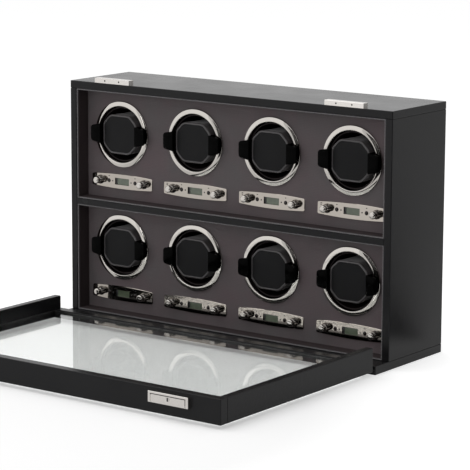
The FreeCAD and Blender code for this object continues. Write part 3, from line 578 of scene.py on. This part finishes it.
# A grip reaches from the cuff's side out to its tip, and widens towards its root. From there a
# cheek runs back into the drum.
cuff_front = panel_face - 7.1
shoulder = cuff_front + 1.8
cuff_back = cuff_front + 65.5
grip_front, grip_thickness = panel_face - 13.4, 3.6
grip_tip, tip_half_height, root_half_height = 53.0, 12, 15.5
cheek_thickness, cheek_half_height, cheek_end = 2.2, 15, grip_front + 46
face_middle, face_fall = cuff_front + 0.5, 0.6
waist_depth, seam_depth, seam_width, seam = 1.0, 0.7, 0.9, shoulder + 5
frame_section = [(3.4, 1.5), (3.3, 0.7), (2.95, 0.2), (2.5, 0.0), (2.0, 0.08), (1.2, 0.45),
                 (0.5, 1.0), (0.1, 1.6), (0.0, 2.3), (0.3, 2.8), (2.3, 2.3)]
for label, (x, z) in stations.items():
    body = "cuff_" + label
    # The face is crowned: it falls back towards its edge, which lies inside the frame.
    inner = eight_sided(3.2)
    face = [(inner, share, face_middle + face_fall * share ** 2.5)
            for share in np.linspace(0, 1, 10)]
    face += [(inner, 1, cuff_front + 1.7)]
    # The side draws in towards its middle, and a little more along a seam near the front.
    side = [(eight_sided(0.5), 1, shoulder - 0.6)]
    for share in np.linspace(0, 1, 15):
        deep = shoulder + 0.2 + share * (cuff_back - shoulder - 3)
        drawn_in = waist_depth * math.sin(math.pi * share) ** 0.8
        drawn_in += seam_depth * math.exp(-((deep - seam) / seam_width) ** 2)
        side.append((eight_sided(0.1 + drawn_in), 1, deep))
    tail = eight_sided(1.0)
    side += [(eight_sided(0.5), 1, cuff_back - 1.5), (tail, 1, cuff_back - 0.3),
             (tail, 0.92, cuff_back), (tail, 0, cuff_back)]
    pad = new_piece("cuff_pad_" + label, body,
                    [(stacked(face, x, z), False, 0), (stacked(side, x, z), False, 1)],
                    [cuff_face, cuff_side], sharp=60)
    rows = [(eight_sided(inset), 1, cuff_front + deep) for inset, deep in frame_section]
    rim = new_piece("cuff_frame_" + label, body, [(stacked(rows, x, z), True, 0)],
                    [cuff_frame], sharp=40)
    grids = []
    for hand, tip_corners in ((-1, (0, 1, 1, 0)), (1, (1, 0, 0, 1))):
        ends = sorted((x + hand * cuff_half, x + hand * grip_tip))
        tab = rounded_plate((ends[0], grip_front, z - tip_half_height),
                            (ends[1], grip_front + grip_thickness, z + tip_half_height),
                            1, 4.0, 0.9, tip_corners)
        flare = (grip_tip - hand * (tab[..., 0] - x)) / (grip_tip - cuff_half)
        widening = (root_half_height - tip_half_height) / tip_half_height
        tab[..., 2] = z + (tab[..., 2] - z) * (1 + widening * flare)
        ends = sorted((x + hand * cuff_half, x + hand * (cuff_half + cheek_thickness)))
        cheek = rounded_plate((ends[0], grip_front + 0.6, z - cheek_half_height),
                              (ends[1], cheek_end, z + cheek_half_height), 0, 2.0, 0.6)
        grids += [(tab, False, 0), (cheek, False, 0)]
    grips = new_piece("cuff_grips_" + label, body, grids, [grip_gloss], sharp=40)
    for piece in (pad, rim, grips):
        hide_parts(body)


# Each control plate is stainless steel with bowed long edges, bevelled and mirror-polished.
# Its face leans back 1.5 degrees. Small index marks are etched in it and filled with black enamel.

plate_thickness, bevel = 1.4, 0.4
plate_half, plate_end_half_height, plate_bow = 60.2, 9.3, 2.4
plate_face = panel_face - plate_thickness
plate_drop = 75.0                # its middle below the ring's
window_half, window_half_height = 14.0, 5.3
lean = math.tan(math.radians(1.5))


def plate_outline(inset):
    """Outline of a control plate drawn in by inset, with its long edges bowed out and its corners
    rounded to 2.5 mm less the inset. x across, z up."""
    half, end, corner = plate_half - inset, plate_end_half_height - inset, 2.5 - inset
    start = half - corner
    bow = [(x, end + plate_bow * (1 - (x / plate_half) ** 2))
           for x in np.linspace(start, -start, 61).tolist()]
    level = bow[0][1] - corner
    right = [(half, z) for z in np.linspace(-level, level, 13)[1:-1]]
    top = arc((start, level), corner, 0, 85, 6) + bow + arc((-start, level), corner, 95, 180, 6)
    left = [(-x, -z) for x, z in right]
    return np.array(right + top + left + [(-x, -z) for x, z in top])


def inlay(x0, x1, z0, z1, front, back, corner=0.3, edge=0.1, number=0):
    """A grid for a small rectangle let into a surface, from front to back."""
    plate = rounded_plate((x0, front, z0), (x1, back, z1), 1, corner, edge, count=3)
    return plate, False, number


polished, tree, where = new_finish("mirror_polished_stainless")
# Buffing leaves a haze in patches.
haze = noise(tree, where, 0.008, 4.0)
coat(tree, Base_Color=linear("#98928b"), Metallic=1.0, Roughness=ranged(tree, haze, 0.03, 0.08))

# The window's rim has a point for each point of the outline. At each of its corners, the nearest
# one is put there.
outer = plate_outline(0.0)
beyond = np.maximum(abs(outer[:, 0]) / window_half, abs(outer[:, 1]) / window_half_height)
window = outer / beyond[:, None]
for corner in np.array([(1, 1), (-1, 1), (-1, -1), (1, -1)]) * (window_half, window_half_height):
    window[np.argmin(np.linalg.norm(window - corner, axis=1))] = corner
# Outlines and their depths: the window's walls, the face, the bevel and the plate's edge.
layers = [(window, plate_thickness), (window, 0.0), (plate_outline(bevel), 0.0), (outer, bevel),
          (outer, plate_thickness)]
grids = []
for x, z in stations.values():
    rows = [np.column_stack([
        x + edge[:, 0],
        plate_face + deep + lean * edge[:, 1] * (deep < plate_thickness),
        z - plate_drop + edge[:, 1]]) for edge, deep in layers]
    grids.append((np.stack(rows), True, 0))
piece = new_piece("control_plate_faces", "case", grids, [polished], sharp=30)
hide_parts("control_plates")

# Black fill: enamel in the plates' marks and the knobs' notches, and painted shade and dark
# reflection in the knobs' grooves and flutes, along the locks and in the keyholes.
enamel_and_painted_shade, tree, where = new_finish("black_enamel_and_painted_shade")
coat(tree, Base_Color=linear("#1c1a19"),
     Roughness=ranged(tree, noise(tree, where, 0.0008), 0.3, 0.5))

dot = [(0.0, -0.12), (0.6, -0.12), (0.95, -0.08), (1.0, 0.0), (1.0, 0.3), (0.0, 0.3)]
# Places across and up from the plate's middle, with each dot's radius and each dash's half length.
dots = (-18.6, 0, 1.2), (18.2, 0, 1.2), (-54.8, -0.4, 0.9), (35.4, 0, 0.7), (53.9, -6.3, 1.1)
dashes = (-26, 7.3, 1.1), (26, 7.3, 1.1), (-53.8, 4.8, 1.3), (-53.8, 7.0, 1.3)
dash_half_height = 0.55
grids = []
for x, z in stations.values():
    z -= plate_drop
    for dx, dz, radius in dots:
        profile = [(r * radius, deep) for r, deep in dot]
        grids.append((turned(profile, (x + dx, plate_face, z + dz), steps=16), False, 0))
    for dx, dz, half in dashes:
        grids.append(inlay(x + dx - half, x + dx + half, z + dz - dash_half_height,
                           z + dz + dash_half_height, plate_face - 0.12, plate_face + 0.3))
new_piece("plate_marks", "case", grids, [enamel_and_painted_shade], sharp=40)


# The display is a reflective liquid-crystal pane behind clear acrylic, sunk in the plate. A black
# strip along its left side is painted shade of the window's left wall.

display, tree, where = new_finish("liquid_crystal_pane")
coat(tree, Base_Color=between(tree, noise(tree, where, 0.006, 1.0), "#434d3d", "#545e4b"),
     Roughness=0.25, Coat_Weight=0.4, Coat_Roughness=0.05)
dress(display, "display_windows")

pane_face = plate_face + 2.0
# The strip beside each window is painted shade of the window's left wall.
painted_shade_width = 3.6
grids = [inlay(x - window_half, x - window_half + painted_shade_width,
               z - plate_drop - window_half_height, z - plate_drop + window_half_height,
               pane_face - 0.3, pane_face + 0.2, corner=0.1) for x, z in stations.values()]
new_piece("display_painted_shade_strips", "case", grids, [moulded_abs_and_painted_shade], sharp=40)


# Each indicator is a domed lens of dark smoked acrylic over a small diode, pressed into the plate.

smoked, tree, where = new_finish("smoked_acrylic_lens")
coat(tree, Base_Color=between(tree, noise(tree, where, 0.003), "#0b0707", "#1d1311"),
     Roughness=0.12, Specular_IOR_Level=0.3)

dome = [(0.0, -0.9), (0.9, -0.87), (1.8, -0.72), (2.5, -0.48), (3.0, -0.18), (3.3, 0.1),
        (3.3, 1.3), (0.0, 1.3)]
lens_offset = 26
grids = [(turned(dome, (x + dx, plate_face, z - plate_drop), steps=40), False, 0)
         for x, z in stations.values() for dx in (-lens_offset, lens_offset)]
piece = new_piece("indicator_domes", "case", grids, [smoked], sharp=50)
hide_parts("indicator_lenses")


# Each knob is die-cast zinc, chromed: a crowned cap, a groove and a fluted skirt that flares out to
# the plate. A black fill in the groove and between the flutes is painted shade and dark reflection,
# and the pointer notch is filled with black enamel.

knob_offset, knob_front = 43.4, plate_face - 12.8
knob_profile = [(0.0, -0.25), (2.0, -0.22), (3.6, -0.1), (4.4, 0.05), (4.9, 0.35), (5.25, 0.8),
                (5.4, 1.4), (5.4, 4.0), (5.2, 4.2), (4.5, 4.2), (4.5, 6.4), (5.2, 6.4), (5.45, 6.6),
                (6.1, 8.7), (6.8, 11.0), (7.2, 12.2), (7.0, 12.5), (1.5, 12.5), (1.5, 17.7),
                (0.0, 17.7)]
# The black fill in the groove and between the flutes is painted shade and dark reflection in their
# hollows.
painted_dark_fill_profile = [(0.0, 4.5), (4.75, 4.5), (4.75, 6.3), (4.95, 6.6), (5.6, 8.7), (6.3, 11.0),
                (6.65, 12.2), (6.4, 12.4), (0.0, 12.4)]
# Only what is wider than the cap is fluted, fully so from half a millimetre beyond it.
knob_steps, flute_count, flute_depth, cap_radius = 120, 10, 0.95, 5.4
angle = np.arange(knob_steps) * 2 * np.pi / knob_steps
flutes = flute_depth * np.clip(np.cos(flute_count * angle), 0, 1) ** 0.8
radii = np.array([radius for radius, _ in knob_profile])
share = np.clip((radii - cap_radius) / 0.5, 0, 1)
fluted = 1 - share[:, None] * flutes / np.maximum(radii, 1)[:, None]
notch_start, notch_end, notch_half_height = 2.2, 4.1, 0.45
for label, (x, z) in stations.items():
    for hand, side in (("left", -1), ("right", 1)):
        body = "knob_" + label + "_" + hand
        centre = (x + side * knob_offset, knob_front, z - plate_drop)
        notch = inlay(centre[0] + notch_start, centre[0] + notch_end,
                      centre[2] - notch_half_height, centre[2] + notch_half_height,
                      knob_front - 0.32, knob_front + 0.3, number=1)
        grids = [(turned(knob_profile, centre, knob_steps, fluted), False, 0),
                 (turned(painted_dark_fill_profile, centre, steps=40), False, 1), notch]
        piece = new_piece(body + "_cap", body, grids, [chrome, enamel_and_painted_shade], sharp=35)
        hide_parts(body)


# The door's pane is float glass, 4 mm, let into grooves in the rails. It is very lightly tinted
# grey, with a trace of green from its iron.

glass, tree, where = new_finish("float_glass")
# The iron is not spread quite evenly through the sheet.
iron = noise(tree, where, 0.12)
sheet = add(tree, "ShaderNodeBsdfPrincipled", {
    "Base Color": between(tree, iron, "#e9eae9", "#e6e8e7"), "Roughness": 0.0, "IOR": 1.38,
    "Transmission Weight": 1.0})
# Light from the lamps goes straight through, with the tint.
through = add(tree, "ShaderNodeBsdfTransparent", {"Color": linear("#ebeceb")})
shadow = add(tree, "ShaderNodeLightPath").outputs["Is Shadow Ray"]
pane = add(tree, "ShaderNodeMixShader", {0: shadow, 1: sheet.outputs[0], 2: through.outputs[0]})
add(tree, "ShaderNodeOutputMaterial", {"Surface": pane.outputs[0]})
dress(glass, "door_glass")


# Three steel butt hinges join the ledge and the door's bottom rail. They are brushed and nickel
# plated, and the lock's bolts have the same finish.

hinge_steel, tree, where = new_finish("brushed_nickel_plated_steel")
# Brushing runs along the hinge, with lines 0.3 mm apart.
lines = add(tree, "ShaderNodeMapping", {"Vector": where,
                                        "Scale": (1 / 0.02, 1 / 0.0003, 1 / 0.0003)})
scratches = noise(tree, lines.outputs[0], 1.0, 3.0)
coat(tree, Base_Color=linear("#c9c5bf"), Metallic=1.0,
     Roughness=ranged(tree, scratches, 0.22, 0.38))
dress(hinge_steel, "hinge_case_leaves", "hinge_door_leaves", "lock_bolts_left", "lock_bolts_right")


# The locks on the door's top rail and their keepers on the case are die-cast and satin chromed.
# Black strips along each lock's top and down its right end are painted shade at the edges of the
# slider's window, and the keyhole holds a black block of painted shade.

lock_plating, tree, where = new_finish("satin_chrome_plate")
# Handling has left it a little uneven.
handled = noise(tree, where, 0.005, 4.0)
coat(tree, Base_Color=linear("#c6c2be"), Metallic=1.0, Roughness=ranged(tree, handled, 0.12, 0.24))
dress(lock_plating, "lock_housings", "latch_keepers", "lock_plug_left", "lock_plug_right")

low, high = millimetres(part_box("lock_housings"))
lock_length, slot_half, slot_half_height = 67.5, 1.3, 2.5
for hand, left in (("left", low[0]), ("right", high[0] - lock_length)):
    body = "lock_plug_" + hand
    plug_low, plug_high = millimetres(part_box(body))
    x, _, z = (plug_low + plug_high) / 2
    # Painted shade runs along the top and down the right end; a shorter black strip runs down to
    # the plug.
    shade_top, shade_foot, shade_end = high[2] - 3.0, high[2] - 5.0, left + 64.0
    grids = [inlay(x0, x1, z0, z1, low[1] + 0.15, low[1] + 0.55, corner=0.1, edge=0.05)
             for x0, x1, z0, z1 in ((left + 4, shade_end, shade_foot, shade_top),
                                    (shade_end - 2.0, shade_end, low[2] + 3.5, shade_foot),
                                    (x - 0.8, x + 0.8, z + 2.0, shade_foot))]
    new_piece("lock_painted_shade_" + hand, "door", grids, [enamel_and_painted_shade], sharp=40)
    # The black block in the keyhole is painted shade inside the hole.
    keyhole = inlay(x - slot_half, x + slot_half, z - slot_half_height, z + slot_half_height,
                    plug_low[1] - 0.1, plug_low[1] + 1.8, corner=0.6)
    new_piece(body + "_slot", body, [keyhole], [enamel_and_painted_shade], sharp=40)
